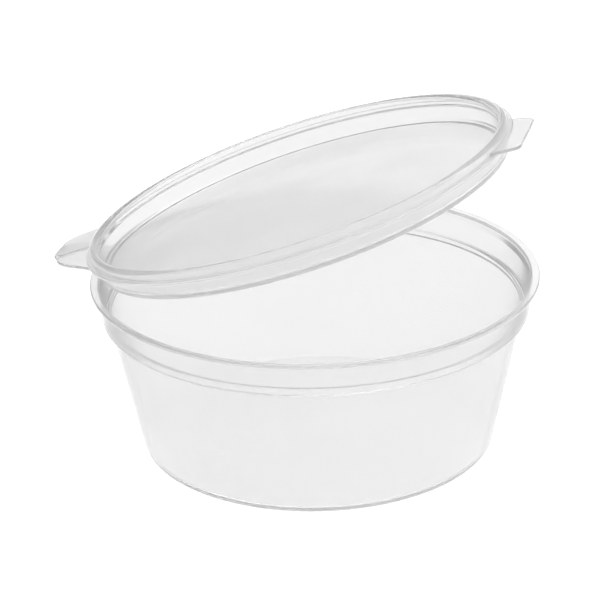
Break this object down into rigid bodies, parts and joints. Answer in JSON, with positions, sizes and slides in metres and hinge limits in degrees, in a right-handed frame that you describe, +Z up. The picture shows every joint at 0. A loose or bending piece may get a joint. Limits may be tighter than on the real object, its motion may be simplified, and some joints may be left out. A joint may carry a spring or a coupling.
{
  "type": "portion cup",
  "caption": "Round plastic portion cup with tapered wall, stepped collar and a hinged plug lid with a lifting tab, shown part open and empty.",
  "frame": {"origin": "centre of the cup's flat base, on the surface it stands on", "axes": "+Z up along the cup's axis, -X towards the fold of the lid, +X towards the lifting tab"},
  "size_m": [0.0882, 0.08, 0.0603],
  "materials": {
    "polypropylene": "natural translucent polypropylene, satin"
  },
  "bodies": {
    "cup": {"cup": "polypropylene"},
    "lid": {"lid": "polypropylene"}
  },
  "joints": [
    {"name": "lid_hinge", "type": "hinge", "parent": "cup", "child": "lid", "pos_m": [-0.04815, 0, 0.03163], "axis": [0, -1, 0], "range_deg": [-17.2, 162.8]}
  ]
}
